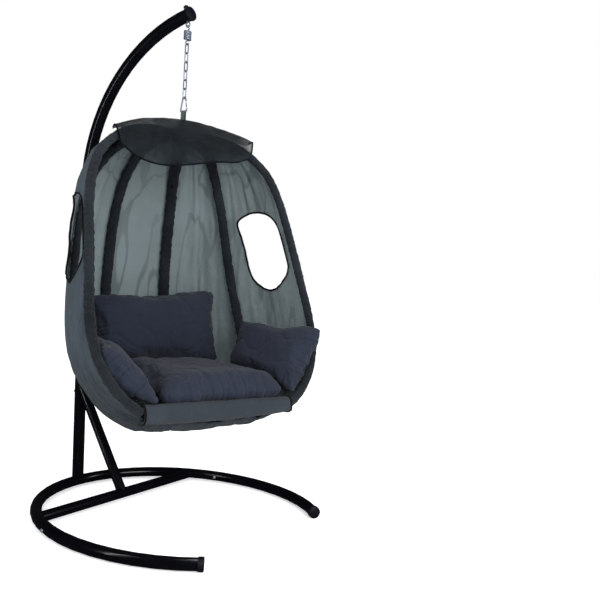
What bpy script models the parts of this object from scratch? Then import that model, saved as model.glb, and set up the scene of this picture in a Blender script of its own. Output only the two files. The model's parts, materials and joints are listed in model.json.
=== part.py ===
"""A hanging egg chair: a padded fabric basket on a spring and chain under a curved
pole, on a C-shaped tube base. Metres, +Z up, front of the stand towards -Y. The
basket hangs turned 22.5 degrees about its chain."""

import math

import bmesh
import bpy
import numpy as np
from mathutils import Vector

# Stand
SHIFT = Vector((0.0184, -0.0929, 0.0))  # puts the middle of the bounding box on the origin
RING_X, RING_Y = 0.479, 0.567  # half-axes of the base curve, at the tube's centre
RING_R = 0.0210
CAP_R = 0.0238
RING_Z = CAP_R
SEAM_DEG, BOLT_DEG, END_DEG = 65.0, 71.0, 136.0
CROSS_Y, CROSS_R = 0.303, 0.0200
BRACE_R = 0.0200
POLE_R = 0.0240
WALL = 0.0015
GAP = 0.0004
SEAM_Z, POST_BOLT_Z = 0.470, 0.400
BRACE_TOP_Z = 0.435
ARC_Y, ARC_Z, ARC_R = -0.0508, 1.2694, 0.6557  # centre and radius of the pole's bend
TIP_Y = 0.066

# Hanging gear, all on one vertical line
HANG_Y = 0.0775
EYE_POLE_Y = 0.0848
EYE_WIRE, EYE_R = 0.0028, 0.0090
SPRING_WIRE, SPRING_R, SPRING_TURNS = 0.0025, 0.0130, 6.0
SPRING_LENGTH, HOOK_LENGTH, HOOK_R = 0.0340, 0.0195, 0.0075
LINK_WIRE, LINK_HALF, LINK_LENGTH, LINKS = 0.0025, 0.0072, 0.0394, 6
LINK_PITCH = LINK_LENGTH - 2 * LINK_WIRE - GAP
SNAP_WIRE, SNAP_LENGTH, SNAP_HALF = 0.0030, 0.0560, 0.0150
STRAP_T, STRAP_WIDTH = 0.0020, 0.0170

# Basket
YAW = math.radians(-22.5)
HUB_R, HUB_BORE, HUB_LOW, HUB_HIGH = 0.045, 0.020, 1.440, 1.478
PIN_R, PIN_Z = 0.0040, 1.4600
RIM_R, RIB_R = 0.0125, 0.0095
RIM_SLEEVE, RIB_SLEEVE = 0.0180, 0.0140
CLOTH = 0.0018
BAR_U, BAR_V, BAR_Z = 0.272, -0.415, 0.478
INNER_DEG, OUTER_DEG, OUTER_LOW_DEG = 13.5, 49.0, 63.0
RIB_INSET = 0.0205
ROUND = 0.8  # power of the basket's cross-section: 1 is an ellipse, less is squarer

BLACK = (0.012, 0.013, 0.016, 1)
PLASTIC = (0.010, 0.011, 0.014, 1)
ZINC = (0.55, 0.56, 0.58, 1)
MESH = (0.085, 0.105, 0.115, 1)
SLEEVE = (0.022, 0.030, 0.036, 1)
HOOD = (0.030, 0.038, 0.044, 1)
PIPING = (0.008, 0.009, 0.011, 1)
PADDING = (0.038, 0.044, 0.060, 1)
WEBBING = (0.12, 0.15, 0.15, 1)

FINISH = {
    "steel_black": (BLACK, 0.3, 0.0),
    "plastic_black": (PLASTIC, 0.5, 0.0),
    "zinc": (ZINC, 0.3, 1.0),
    "mesh_fabric": (MESH, 0.9, 0.0),
    "sleeve_fabric": (SLEEVE, 0.9, 0.0),
    "hood_fabric": (HOOD, 0.9, 0.0),
    "piping": (PIPING, 0.8, 0.0),
    "cushion_fabric": (PADDING, 0.8, 0.0),
    "webbing": (WEBBING, 0.9, 0.0),
}


def clear_scene():
    for obj in list(bpy.data.objects):
        bpy.data.objects.remove(obj)
    for group in list(bpy.data.collections):
        bpy.data.collections.remove(group)


def collection(name, hidden=False):
    group = bpy.data.collections.new(name)
    group.hide_render = hidden
    bpy.context.scene.collection.children.link(group)
    return group


clear_scene()
PARTS = collection("hanging_egg_chair")
CUTTERS = collection("cutters", hidden=True)


def finish_material(node, finish):
    colour, roughness, metallic = FINISH[finish]
    material = bpy.data.materials.new(node)
    material.use_nodes = True
    shader = material.node_tree.nodes["Principled BSDF"]
    shader.inputs["Base Color"].default_value = colour
    shader.inputs["Roughness"].default_value = roughness
    shader.inputs["Metallic"].default_value = metallic
    material.diffuse_color = colour
    return material


def place(obj, finish=None, parent=None):
    """Links an object as a part, or as a hidden cutter where no finish is given."""
    if finish is None:
        CUTTERS.objects.link(obj)
        obj.hide_render = True
        obj.display_type = "WIRE"
    else:
        PARTS.objects.link(obj)
        obj.data.materials.append(finish_material(obj.name, finish))
    obj.parent = parent
    return obj


def pivot(name, position, parent=None, turn=0.0):
    """An empty on a joint's axis; position is in the stand's frame."""
    empty = bpy.data.objects.new(name, None)
    empty.empty_display_size = 0.03
    PARTS.objects.link(empty)
    empty.parent = parent
    here = Vector(position)
    empty.location = here - (Vector(parent["stand_point"]) if parent else Vector())
    empty.rotation_euler = (0.0, 0.0, turn)
    empty["stand_point"] = tuple(here)
    return empty


def local(points, pivot_empty):
    """Points in the stand's frame as seen from a pivot."""
    here = Vector(pivot_empty["stand_point"])
    return [Vector(point) - here for point in points]


def wire(name, points, radius, sides=8, closed=False, caps=True):
    """A round bar along points, as a curve object that isn't linked yet."""
    curve = bpy.data.curves.new(name, "CURVE")
    curve.dimensions = "3D"
    spline = curve.splines.new("POLY")
    spline.points.add(len(points) - 1)
    for target, point in zip(spline.points, points):
        target.co = (*point, 1.0)
    spline.use_cyclic_u = closed
    curve.bevel_depth = radius
    curve.bevel_resolution = (sides - 4) // 2
    curve.use_fill_caps = caps
    return bpy.data.objects.new(name, curve)


def as_mesh(obj):
    """The mesh of a curve object, with the points its caps share merged."""
    bpy.context.scene.collection.objects.link(obj)
    bpy.context.view_layer.update()
    graph = bpy.context.evaluated_depsgraph_get()
    mesh = bpy.data.meshes.new_from_object(obj.evaluated_get(graph))
    curve, name = obj.data, obj.name
    bpy.data.objects.remove(obj)
    bpy.data.curves.remove(curve)
    shape = bmesh.new()
    shape.from_mesh(mesh)
    bmesh.ops.remove_doubles(shape, verts=shape.verts, dist=1e-5)
    bmesh.ops.recalc_face_normals(shape, faces=shape.faces)
    shape.to_mesh(mesh)
    shape.free()
    mesh.name = name
    mesh.materials.clear()
    return mesh


def mesh_object(name, vertices, faces, smooth=True):
    mesh = bpy.data.meshes.new(name)
    mesh.from_pydata([tuple(v) for v in vertices], [], faces)
    shape = bmesh.new()
    shape.from_mesh(mesh)
    bmesh.ops.recalc_face_normals(shape, faces=shape.faces)
    if all(edge.is_manifold for edge in shape.edges) and shape.calc_volume(signed=True) < 0:
        bmesh.ops.reverse_faces(shape, faces=shape.faces)
    shape.to_mesh(mesh)
    shape.free()
    for polygon in mesh.polygons:
        polygon.use_smooth = smooth
    return bpy.data.objects.new(name, mesh)


def thicken(obj, thickness, offset=-1.0):
    solid = obj.modifiers.new("Thickness", "SOLIDIFY")
    solid.thickness = thickness
    solid.offset = offset
    solid.use_even_offset = True


def bar(name, points, radius, finish, parent=None, sides=12, closed=False):
    """A solid round bar."""
    return place(wire(name, points, radius, sides, closed), finish, parent)


def tube(name, points, radius, finish, wall=WALL, parent=None, sides=12):
    """A hollow round tube with open ends."""
    mesh = as_mesh(wire(name, points, radius, sides, caps=False))
    for polygon in mesh.polygons:
        polygon.use_smooth = True
    obj = bpy.data.objects.new(name, mesh)
    thicken(obj, wall)
    return place(obj, finish, parent)


def rod_cutter(name, points, radius, sides=16, parent=None):
    obj = bpy.data.objects.new(name, as_mesh(wire(name, points, radius, sides)))
    return place(obj, None, parent)


def cut(obj, cutter):
    hole = obj.modifiers.new(cutter.name, "BOOLEAN")
    hole.operation = "DIFFERENCE"
    hole.solver = "EXACT"
    hole.object = cutter


def turned(name, profile, finish, origin, axis, parent=None, steps=20):
    """A profile of (radius, height) turned about an axis through origin."""
    mesh = bpy.data.meshes.new(name)
    edges = [(i, i + 1) for i in range(len(profile) - 1)]
    if profile[0][0] > 0:
        edges.append((len(profile) - 1, 0))
    mesh.from_pydata([(r, 0.0, h) for r, h in profile], edges, [])
    obj = bpy.data.objects.new(name, mesh)
    screw = obj.modifiers.new("Turn", "SCREW")
    screw.steps = steps
    screw.render_steps = steps
    screw.use_merge_vertices = True
    screw.merge_threshold = 0.00005
    screw.use_smooth_shade = True
    obj.rotation_mode = "QUATERNION"
    obj.rotation_quaternion = Vector((0, 0, 1)).rotation_difference(Vector(axis))
    obj.location = origin
    return place(obj, finish, parent)


def spline_at(padded, t):
    i = min(int(t), len(padded) - 4)
    x = t - i
    a, b, c, d = padded[i : i + 4]
    return 0.5 * (2 * b + (c - a) * x + (2 * a - 5 * b + 4 * c - d) * x**2 + (3 * b - a - 3 * c + d) * x**3)


# ---------------------------------------------------------------- stand

STAND = pivot("stand", (0.0, 0.0, 0.0))
STAND.location = SHIFT


def ring_point(degrees):
    angle = math.radians(degrees)
    return Vector((RING_X * math.sin(angle), RING_Y * math.cos(angle), RING_Z))


def ring_path(start, end, count):
    return [ring_point(d) for d in np.linspace(start, end, count)]


def ring_direction(degrees):
    return (ring_point(degrees + 0.5) - ring_point(degrees - 0.5)).normalized()


def lean_y(z):
    """Where the post's centre line is at a height; it leans back slightly."""
    foot, top = RING_Y + 0.006, ARC_Y + ARC_R
    return foot + (top - foot) * (z - RING_Z) / (ARC_Z - RING_Z)


def post_point(z):
    return Vector((0.0, lean_y(z), z))


def arc_point(y):
    return Vector((0.0, y, ARC_Z + math.sqrt(ARC_R**2 - (y - ARC_Y) ** 2)))


def pole_path():
    straight = [post_point(z) for z in (SEAM_Z + 0.0005, 0.8, 1.1)]
    end = math.acos((TIP_Y - ARC_Y) / ARC_R)
    bend = []
    for angle in np.linspace(0.02, end, 18):
        bend.append(Vector((0.0, ARC_Y + ARC_R * math.cos(angle), ARC_Z + ARC_R * math.sin(angle))))
    return straight + bend


def bolt_and_nut(name, centre, axis, half_length, radius, targets):
    """A domed bolt through centre, its nut, and the hole it needs in each target."""
    axis = Vector(axis).normalized()
    head = [
        (0.0, half_length + 0.0065),
        (radius * 1.2, half_length + 0.0055),
        (radius * 2.0, half_length + 0.0020),
        (radius * 2.0, half_length + 0.0004),
        (radius, half_length + 0.0004),
        (radius, -half_length - 0.0060),
        (0.0, -half_length - 0.0060),
    ]
    turned(name + "_bolt", head, "steel_black", centre, axis, STAND, 12)
    inner = radius + GAP
    nut = [
        (0.0, -half_length - 0.0085),
        (radius * 1.3, -half_length - 0.0075),
        (radius * 1.9, -half_length - 0.0055),
        (radius * 1.9, -half_length - 0.0014),
        (inner, -half_length - 0.0014),
        (inner, -half_length - 0.0065),
        (0.0, -half_length - 0.0065),
    ]
    turned(name + "_nut", nut[::-1], "steel_black", centre, axis, STAND, 12)
    reach = axis * (half_length + 0.004)
    cutter = rod_cutter(name + "_hole", [centre - reach, centre + reach], radius + GAP, 12, STAND)
    for target in targets:
        cut(target, cutter)


def tube_cap(name, centre, axis, outer, tube_radius, depth=0.014):
    """A plastic cap pushed over a tube's end, closed at the outer side."""
    bore = tube_radius + 0.0012
    profile = [
        (0.0, 0.0060),
        (outer - 0.0030, 0.0060),
        (outer - 0.0006, 0.0045),
        (outer, 0.0020),
        (outer, -depth),
        (bore, -depth),
        (bore, 0.0006),
        (0.0, 0.0006),
    ]
    return turned(name, profile, "plastic_black", centre, axis, STAND, 18)


def build_base():
    arc = [ring_point(-SEAM_DEG)] + ring_path(0.4 - SEAM_DEG, SEAM_DEG - 0.4, 20) + [ring_point(SEAM_DEG)]
    back = tube("base_back_arc", arc, RING_R, "steel_black", parent=STAND)
    ring_rod = rod_cutter("ring_rod", arc, RING_R + GAP, 12, STAND)
    cross_half = RING_X * math.sqrt(1.0 - (CROSS_Y / RING_Y) ** 2)
    ends = [Vector((x, CROSS_Y, RING_Z)) for x in (-cross_half, cross_half)]
    crossbar = tube("base_crossbar", ends, CROSS_R, "steel_black", parent=STAND)
    cut(crossbar, ring_rod)
    for side, sign in (("left", -1), ("right", 1)):
        arm_path = [ring_point(sign * (SEAM_DEG + 0.07))]
        arm_path += ring_path(sign * (SEAM_DEG + 0.5), sign * END_DEG, 10)
        arm = tube("base_arm_" + side, arm_path, RING_R, "steel_black", parent=STAND)
        spigot_path = ring_path(sign * (SEAM_DEG - 5.5), sign * (SEAM_DEG + 10.0), 5)
        fit = RING_R - WALL - GAP - 0.0006
        spigot = tube("base_spigot_" + side, spigot_path, fit, "steel_black", parent=STAND)
        centre = ring_point(sign * BOLT_DEG)
        outward = ring_direction(sign * BOLT_DEG).cross(Vector((0, 0, 1))) * 1.0
        if outward.dot(centre) < 0:
            outward = -outward
        bolt_and_nut("arm_" + side, centre, outward, RING_R, 0.0035, (arm, spigot))
        forward = (arm_path[-1] - arm_path[-2]).normalized()
        tube_cap("arm_cap_" + side, arm_path[-1], forward, CAP_R, RING_R)
    return ring_rod, back, crossbar


def build_post():
    ring_rod = build_base()[0]
    stub_path = [post_point(z) for z in (RING_Z, 0.25, SEAM_Z)]
    post = tube("post_stub", stub_path, POLE_R, "steel_black", parent=STAND)
    cut(post, ring_rod)
    spigot_path = [post_point(z) for z in (SEAM_Z - 0.095, SEAM_Z + 0.095)]
    spigot = tube("post_spigot", spigot_path, POLE_R - WALL - GAP - 0.0006, "steel_black", parent=STAND)
    bolt_and_nut("post", post_point(POST_BOLT_Z), (-0.25, 1.0, 0.0), POLE_R, 0.0040, (post, spigot))
    brace = tube(
        "brace_tube",
        [Vector((0.0, CROSS_Y, RING_Z)), post_point(BRACE_TOP_Z)],
        BRACE_R,
        "steel_black",
        parent=STAND,
    )
    cross_rod = rod_cutter(
        "cross_rod", [(-0.2, CROSS_Y, RING_Z), (0.2, CROSS_Y, RING_Z)], CROSS_R + GAP, 12, STAND
    )
    post_rod = rod_cutter("post_rod", [post_point(0.2), post_point(0.6)], POLE_R + GAP, 12, STAND)
    cut(brace, cross_rod)
    cut(brace, post_rod)


def build_pole():
    pole = tube("pole", pole_path(), POLE_R, "steel_black", parent=STAND)
    tip = arc_point(TIP_Y)
    along = (pole_path()[-1] - pole_path()[-2]).normalized()
    tube_cap("pole_tip_cap", tip, along, POLE_R + 0.0032, POLE_R, 0.004)
    centre = arc_point(EYE_POLE_Y)
    up = Vector((0.0, EYE_POLE_Y - ARC_Y, centre.z - ARC_Z)).normalized()
    drop = POLE_R + EYE_R + EYE_WIRE + 0.0010
    eye = Vector((0.0, HANG_Y, (centre - up * drop).z))
    shank_end = eye + up * (EYE_R + 0.0007)
    ring = []
    for turn in np.linspace(math.radians(24), math.radians(360 - 3), 18):
        side = Vector((0.0, up.z, -up.y))
        ring.append(eye + up * EYE_R * math.cos(turn) + side * EYE_R * math.sin(turn))
    top = eye + up * (POLE_R + drop + 0.012)
    path = [top, shank_end + up * 0.006] + ring[::-1]
    bar("eye_bolt", path, EYE_WIRE, "zinc", STAND, 8)
    cutter = rod_cutter("eye_bolt_hole", [shank_end - up * 0.004, top], EYE_WIRE + GAP, 12, STAND)
    cut(pole, cutter)
    seat = eye + up * (POLE_R + drop)
    inner = EYE_WIRE + GAP
    washer = [(inner, 0.0007), (inner, 0.0022), (0.0100, 0.0022), (0.0100, 0.0007)]
    turned("eye_bolt_washer", washer, "steel_black", seat, up, STAND, 16)
    knob = [
        (0.0, 0.0165),
        (0.0050, 0.0158),
        (0.0092, 0.0125),
        (0.0105, 0.0085),
        (0.0095, 0.0028),
        (inner, 0.0028),
        (inner, 0.0126),
        (0.0, 0.0126),
    ]
    turned("eye_bolt_knob", knob, "plastic_black", seat, up, STAND, 16)
    return eye


# ---------------------------------------------------------------- hanging gear


def circle_points(centre, radius, start, end, count, plane):
    """Points on a circle arc; plane is the pair of unit directions it is drawn in."""
    first, second = (Vector(direction) for direction in plane)
    arc = []
    for turn in np.radians(np.linspace(start, end, count)):
        arc.append(Vector(centre) + first * radius * math.cos(turn) + second * radius * math.sin(turn))
    return arc


def build_spring(eye):
    hook_top = eye.z - EYE_R + EYE_WIRE + SPRING_WIRE + GAP
    swing = pivot("spring_swing", (0.0, HANG_Y, hook_top), STAND)
    x, z = (1, 0, 0), (0, 0, 1)
    upper = Vector((0.0, HANG_Y, hook_top - HOOK_R))
    path = circle_points(upper, HOOK_R, 195, -55, 13, (x, z))
    coil_top = hook_top - HOOK_LENGTH
    path.append(Vector((0.0, HANG_Y, coil_top + 0.0035)))
    coil = []
    for turn in np.linspace(0.0, SPRING_TURNS * 2 * math.pi, int(SPRING_TURNS * 10) + 1):
        height = coil_top - SPRING_LENGTH * turn / (SPRING_TURNS * 2 * math.pi)
        coil.append(Vector((SPRING_R * math.cos(turn), HANG_Y + SPRING_R * math.sin(turn), height)))
    hook_bottom = hook_top - SPRING_LENGTH - 2 * HOOK_LENGTH
    lower = Vector((0.0, HANG_Y, hook_bottom + HOOK_R))
    path += coil
    path.append(Vector((0.0, HANG_Y, coil_top - SPRING_LENGTH - 0.0035)))
    path += circle_points(lower, HOOK_R, 125, 375, 13, (x, z))
    bar("spring", local(path, swing), SPRING_WIRE, "zinc", swing, 6)
    return swing, hook_bottom


def link_path(across):
    """A stadium-shaped loop hanging from the middle of its top bend."""
    down = Vector((0, 0, -1))
    top = down * LINK_HALF
    low = down * (LINK_LENGTH - LINK_HALF)
    loop = circle_points(top, LINK_HALF, 0, 180, 8, (across, (0, 0, 1)))
    loop += circle_points(low, LINK_HALF, 180, 360, 8, (across, (0, 0, 1)))
    return loop


def build_chain(spring, hook_bottom):
    """The six links, each on its own pivot; every second one lies the other way."""
    parent = spring
    z = hook_bottom + SPRING_WIRE + LINK_WIRE + GAP
    for number in range(1, LINKS + 1):
        across = (0, 1, 0) if number % 2 else (1, 0, 0)
        parent = pivot("link_%d_pivot" % number, (0.0, HANG_Y, z), parent)
        bar("chain_link_%d" % number, link_path(across), LINK_WIRE, "zinc", parent, 6, closed=True)
        z -= LINK_PITCH
    return parent, z - LINK_WIRE + SNAP_WIRE


def build_snap(parent, top):
    """A pear-shaped snap hook with a gate on one side; it lies in the Y-Z plane."""
    snap = pivot("snap_pivot", (0.0, HANG_Y, top), parent)
    narrow, wide, corner = 0.0075, SNAP_HALF, 0.0060
    y, z = (0, 1, 0), (0, 0, 1)
    gate_top, gate_low = -0.0165, -0.0420
    body = [Vector((0, -narrow - 0.0028, gate_top + 0.0006))]
    body += circle_points((0, 0, -narrow), narrow, 180, 0, 9, (y, z))
    body += circle_points((0, wide - corner, -SNAP_LENGTH + corner), corner, 0, -90, 5, (y, z))
    body += circle_points((0, -wide + corner, -SNAP_LENGTH + corner), corner, -90, -180, 5, (y, z))
    body.append(Vector((0, -wide + 0.0006, gate_low - 0.0012)))
    bar("snap_hook", body, SNAP_WIRE, "zinc", snap, 8)
    hinge = Vector((0, -narrow - 0.0030, gate_top - 0.0062))
    gate_pivot = pivot("gate_pivot", Vector(snap["stand_point"]) + hinge, snap)
    low = Vector((0, -wide + 0.0012, gate_low + 0.0030)) - hinge
    gate = bar("snap_gate", [Vector((0, 0, 0)) + low * -0.06, low], 0.0022, "zinc", gate_pivot, 8)
    return snap, gate, gate_pivot


def strap_loop(top, low, top_r, low_r, steps=8):
    """A closed outline round two round bars, one above the other."""
    outline = []
    for turn in np.radians(np.linspace(0, 180, steps)):
        outline.append((top_r * math.cos(turn), top + top_r * math.sin(turn)))
    for turn in np.radians(np.linspace(180, 360, steps)):
        outline.append((low_r * math.cos(turn), low + low_r * math.sin(turn)))
    return outline


def build_strap(parent, wire_z):
    basket = pivot("basket_pivot", (0.0, HANG_Y, wire_z), parent)
    outline = strap_loop(0.0, PIN_Z - wire_z, SNAP_WIRE + 0.0006, PIN_R + 0.0006)
    count = len(outline)
    vertices = []
    for side in (-1, 1):
        vertices += [(x, side * STRAP_WIDTH / 2, z) for x, z in outline]
    faces = [(i, (i + 1) % count, (i + 1) % count + count, i + count) for i in range(count)]
    strap = mesh_object("hanging_strap", vertices, faces)
    thicken(strap, STRAP_T, 1.0)
    place(strap, "webbing", basket)
    return basket


# ---------------------------------------------------------------- basket frame
# In the basket's own frame: u to the right, v to the back, z up, from the hub's axis.

RIM = [
    (0.030, 0.000, 1.460),
    (0.120, -0.006, 1.461),
    (0.215, -0.020, 1.441),
    (0.285, -0.044, 1.400),
    (0.338, -0.070, 1.345),
    (0.374, -0.103, 1.265),
    (0.394, -0.143, 1.165),
    (0.405, -0.190, 1.055),
    (0.415, -0.238, 0.945),
    (0.424, -0.280, 0.840),
    (0.428, -0.316, 0.755),
    (0.420, -0.346, 0.678),
    (0.400, -0.371, 0.615),
    (0.370, -0.391, 0.563),
    (0.336, -0.405, 0.523),
    (0.304, -0.413, 0.495),
    (0.284, -0.4148, 0.4825),
    (0.275, -0.415, 0.4785),
    (0.2725, -0.415, 0.478),
]
BACK = [
    (0.030, 1.480),
    (0.105, 1.473),
    (0.185, 1.443),
    (0.262, 1.390),
    (0.322, 1.315),
    (0.364, 1.225),
    (0.393, 1.120),
    (0.413, 1.010),
    (0.424, 0.890),
    (0.424, 0.770),
    (0.408, 0.660),
    (0.370, 0.560),
    (0.305, 0.480),
    (0.215, 0.418),
    (0.105, 0.373),
    (-0.025, 0.352),
    (-0.160, 0.357),
    (-0.290, 0.388),
    (-0.372, 0.435),
]


def padded(points):
    knots = np.asarray(points, float)
    return np.vstack([2 * knots[0] - knots[1], knots, 2 * knots[-1] - knots[-2]])


RIM_KNOTS, BACK_KNOTS = padded(RIM), padded(BACK)


def shell_point(s, degrees):
    """A point on the basket's skin: s runs from the hub to the front bar, degrees round from the back."""
    u, v_rim, z_rim = spline_at(RIM_KNOTS, s)
    v_back, z_back = spline_at(BACK_KNOTS, s)
    angle = math.radians(degrees)
    out = math.copysign(abs(math.sin(angle)) ** ROUND, angle)
    rear = max(math.cos(angle), 0.0) ** ROUND
    return Vector((u * out, v_rim + (v_back - v_rim) * rear, z_rim + (z_back - z_rim) * rear))


def shell_normal(s, degrees):
    """The skin's outward direction."""
    ahead = shell_point(min(s + 0.05, 18.0), degrees) - shell_point(max(s - 0.05, 0.0), degrees)
    around = shell_point(s, degrees + 1.0) - shell_point(s, degrees - 1.0)
    return ahead.cross(around).normalized() * -1.0


def edge_degrees(s, clearance):
    """How far round the skin reaches before it meets the rim's sleeve."""
    _, v_rim, z_rim = spline_at(RIM_KNOTS, s)
    v_back, z_back = spline_at(BACK_KNOTS, s)
    depth = math.hypot(v_back - v_rim, z_back - z_rim)
    return math.degrees(math.acos(min(clearance / depth, 0.95) ** (1.0 / ROUND)))


def rib_path(name, inset):
    """A right-hand rib's centre line; the outer pair spreads towards the seat."""
    path = []
    for s in np.linspace(1.0, 15.6, 13):
        degrees = INNER_DEG
        if name == "outer":
            spread = min(max((s - 4.0) / 8.0, 0.0), 1.0)
            degrees = OUTER_DEG + (OUTER_LOW_DEG - OUTER_DEG) * spread
        point = shell_point(s, degrees) - shell_normal(s, degrees) * inset
        path.append(point)
    return path


def rim_path():
    """The right rim's centre line between its two end fittings."""
    return [Vector(spline_at(RIM_KNOTS, s)) for s in np.linspace(1.0, 15.0, 14)]


def to_pivot(points):
    """Basket-frame points as seen from the turned pivot on the swivel's axis."""
    return [Vector((p[0], p[1], p[2] - TURNED["stand_point"][2])) for p in points]


def mirrored(points):
    return [Vector((-p[0], p[1], p[2])) for p in points]


def build_frame(basket):
    hub_profile = [
        (HUB_BORE, HUB_LOW + 0.002),
        (HUB_BORE, HUB_HIGH - 0.002),
        (HUB_BORE + 0.002, HUB_HIGH),
        (HUB_R - 0.003, HUB_HIGH),
        (HUB_R, HUB_HIGH - 0.003),
        (HUB_R, HUB_LOW + 0.002),
        (HUB_R - 0.002, HUB_LOW),
        (HUB_BORE + 0.002, HUB_LOW),
    ]
    base = basket["stand_point"][2]
    profile = [(r, h - base) for r, h in hub_profile]
    turned("hub_ring", profile, "steel_black", (0, 0, 0), (0, 0, 1), basket, 20)
    reach = HUB_BORE - 0.0009
    pin = [Vector((0, y, PIN_Z - base)) for y in (-reach, reach)]
    bar("hub_pin", pin, PIN_R, "steel_black", basket, 8)

    first = Vector((HUB_R + 0.0006, 0.0, 1.459))
    rim = [first, Vector((0.075, -0.0015, 1.460))]
    rim += rim_path()
    rim += [Vector((BAR_U + 0.0120, BAR_V, BAR_Z)), Vector((BAR_U + 0.0004, BAR_V, BAR_Z))]
    tube("rim_right", to_pivot(rim), RIM_R, "steel_black", 0.0013, TURNED, 10)
    tube("rim_left", to_pivot(mirrored(rim)), RIM_R, "steel_black", 0.0013, TURNED, 10)
    bar_ends = [Vector((-BAR_U, BAR_V, BAR_Z)), Vector((BAR_U, BAR_V, BAR_Z))]
    tube("front_bar", to_pivot(bar_ends), RIM_R, "steel_black", 0.0013, TURNED, 10)
    for name in ("inner", "outer"):
        path = rib_path(name, RIB_INSET)
        out = Vector((path[0].x, path[0].y, 0.0)).normalized() * (HUB_R + 0.0010)
        start = Vector((out.x, out.y, path[0].z - 0.002))
        start.z = min(start.z, 1.455)
        across = min(path[-1].x, BAR_U - 0.022)
        meet = Vector((across, BAR_V + RIM_R + 0.0008, BAR_Z))
        lead = (path[-1] - meet) * 0.25
        rib = [start] + path + [meet + Vector((0.0, lead.length, lead.z * 0.5)), meet]
        tube("rib_%s_right" % name, to_pivot(rib), RIB_R, "steel_black", 0.0012, TURNED, 8)
        tube("rib_%s_left" % name, to_pivot(mirrored(rib)), RIB_R, "steel_black", 0.0012, TURNED, 8)


# ---------------------------------------------------------------- basket cloth

WINDOW = [
    (0.160, 1.152),
    (0.112, 1.187),
    (0.045, 1.196),
    (-0.034, 1.182),
    (-0.090, 1.138),
    (-0.120, 1.083),
    (-0.156, 1.003),
    (-0.164, 0.970),
    (-0.140, 0.932),
    (-0.093, 0.892),
    (-0.030, 0.876),
    (0.043, 0.897),
    (0.084, 0.934),
    (0.113, 1.018),
    (0.138, 1.081),
]
PIPE_R = 0.0040


def side_point(v, z):
    """The skin's point on the right side at a given depth and height."""
    best, s, degrees = None, 7.0, 75.0
    step_s, step_d = 4.0, 20.0
    for _ in range(16):
        for ds in (-1, 0, 1):
            for dd in (-1, 0, 1):
                trial_s = min(max(s + ds * step_s, 1.0), 14.0)
                trial_d = min(max(degrees + dd * step_d, 20.0), 89.0)
                point = shell_point(trial_s, trial_d)
                error = math.hypot(point.y - v, point.z - z)
                if best is None or error < best[0]:
                    best = (error, trial_s, trial_d)
        s, degrees = best[1], best[2]
        step_s, step_d = step_s * 0.62, step_d * 0.62
    return shell_point(s, degrees)


def window_outline(grow, count):
    """The window's edge in depth and height, pushed outwards by grow."""
    loop = list(WINDOW)
    smooth = []
    knots = np.array(loop[-1:] + loop + loop[:2])
    for t in np.linspace(0, len(loop), count, endpoint=False):
        smooth.append(spline_at(knots, t))
    result = []
    for i, point in enumerate(smooth):
        tangent = smooth[(i + 1) % count] - smooth[i - 1]
        outward = np.array((tangent[1], -tangent[0])) / np.hypot(*tangent)
        result.append(point + outward * grow)
    return result


def window_cutter(sign):
    outline = window_outline(PIPE_R + 0.0014, 30)
    count = len(outline)
    base = TURNED["stand_point"][2]
    vertices = [(sign * 0.20, v, z - base) for v, z in outline]
    vertices += [(sign * 0.60, v, z - base) for v, z in outline]
    faces = [tuple(range(count)), tuple(range(2 * count - 1, count - 1, -1))]
    faces += [(i, (i + 1) % count, (i + 1) % count + count, i + count) for i in range(count)]
    name = "window_hole_left" if sign < 0 else "window_hole_right"
    return place(mesh_object(name, vertices, faces, False), None, TURNED)


def build_shell():
    rows = np.concatenate([np.linspace(0.34, 3.0, 5), np.linspace(3.9, 16.2, 13), [17.0, 17.75]])
    columns = np.linspace(-1.0, 1.0, 21)
    grid = []
    for s in rows:
        limit = edge_degrees(s, RIM_SLEEVE + CLOTH + 0.0012)
        for share in columns:
            grid.append(shell_point(s, limit * share))
    faces = []
    width = len(columns)
    for i in range(len(rows) - 1):
        for j in range(width - 1):
            k = i * width + j
            faces.append((k, k + 1, k + width + 1, k + width))
    shell = mesh_object("fabric_shell", to_pivot(grid), faces)
    thicken(shell, CLOTH, 0.0)
    place(shell, "mesh_fabric", TURNED)
    for sign, side in ((1, "right"), (-1, "left")):
        cut(shell, window_cutter(sign))
        edge = []
        for v, z in window_outline(0.0, 26):
            point = side_point(v, z)
            edge.append(Vector((point.x * sign, point.y, point.z)))
        bar("window_piping_" + side, to_pivot(edge), PIPE_R, "piping", TURNED, 6, closed=True)


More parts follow.
